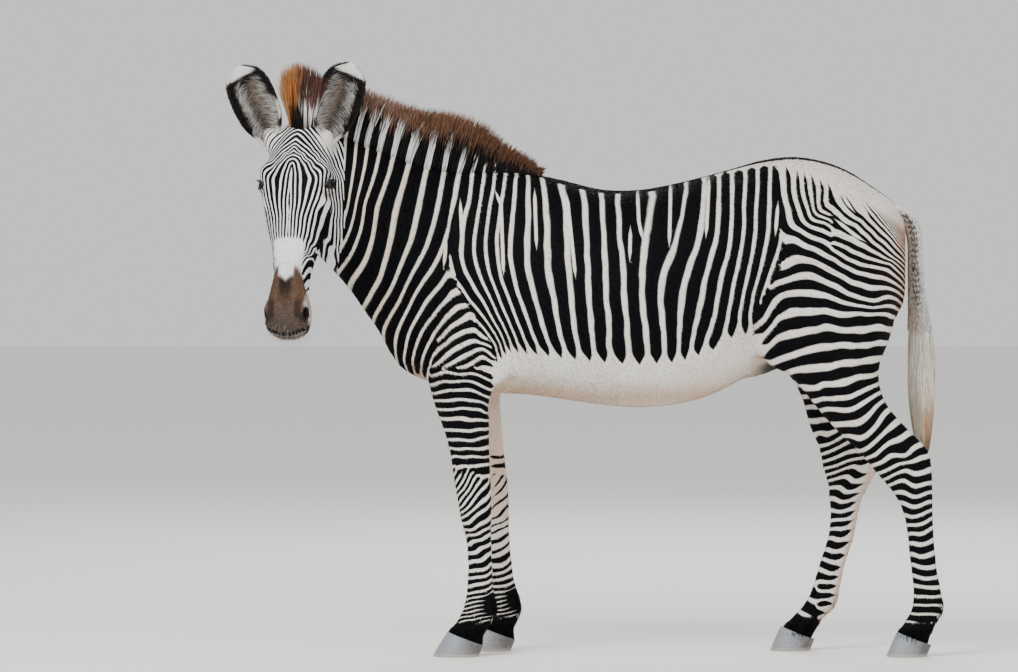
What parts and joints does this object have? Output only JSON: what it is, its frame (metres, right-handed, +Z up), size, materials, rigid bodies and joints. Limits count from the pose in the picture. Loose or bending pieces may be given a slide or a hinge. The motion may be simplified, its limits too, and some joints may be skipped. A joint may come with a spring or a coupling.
{
  "type": "standing zebra",
  "caption": "Life-size still model of an adult Grevy's zebra standing on four hooves, head turned to its left, ears forward.",
  "frame": {"origin": "bottom centre of the bounding box, on the floor the hooves stand on", "axes": "+Z up, the body faces -Y, its left side is +X and its head is turned towards +X"},
  "size_m": [0.6051, 2.1413, 1.778],
  "materials": {
    "striped_coat": "short smooth hair, narrow white stripes on black",
    "ear_coat": "short hair outside with black rim and white tip, long pale hair inside",
    "mane_hair": "stiff upright hair, banded black and white with rust-brown tips",
    "tail_hair": "barred dock and long cream tuft, tan at the end",
    "hoof_horn": "grey horn, satin, dusty",
    "eye": "wet dark brown"
  },
  "bodies": {
    "root": {"head": "striped_coat", "neck": "striped_coat", "trunk": "striped_coat", "tail": "tail_hair", "mane": "mane_hair", "forelock": "mane_hair", "ear_left": "ear_coat", "ear_right": "ear_coat", "eye_left": "eye", "eye_right": "eye", "foreleg_left": "striped_coat", "foreleg_right": "striped_coat", "hind_leg_left": "striped_coat", "hind_leg_right": "striped_coat", "hoof_fore_left": "hoof_horn", "hoof_fore_right": "hoof_horn", "hoof_hind_left": "hoof_horn", "hoof_hind_right": "hoof_horn"}
  },
  "joints": []
}
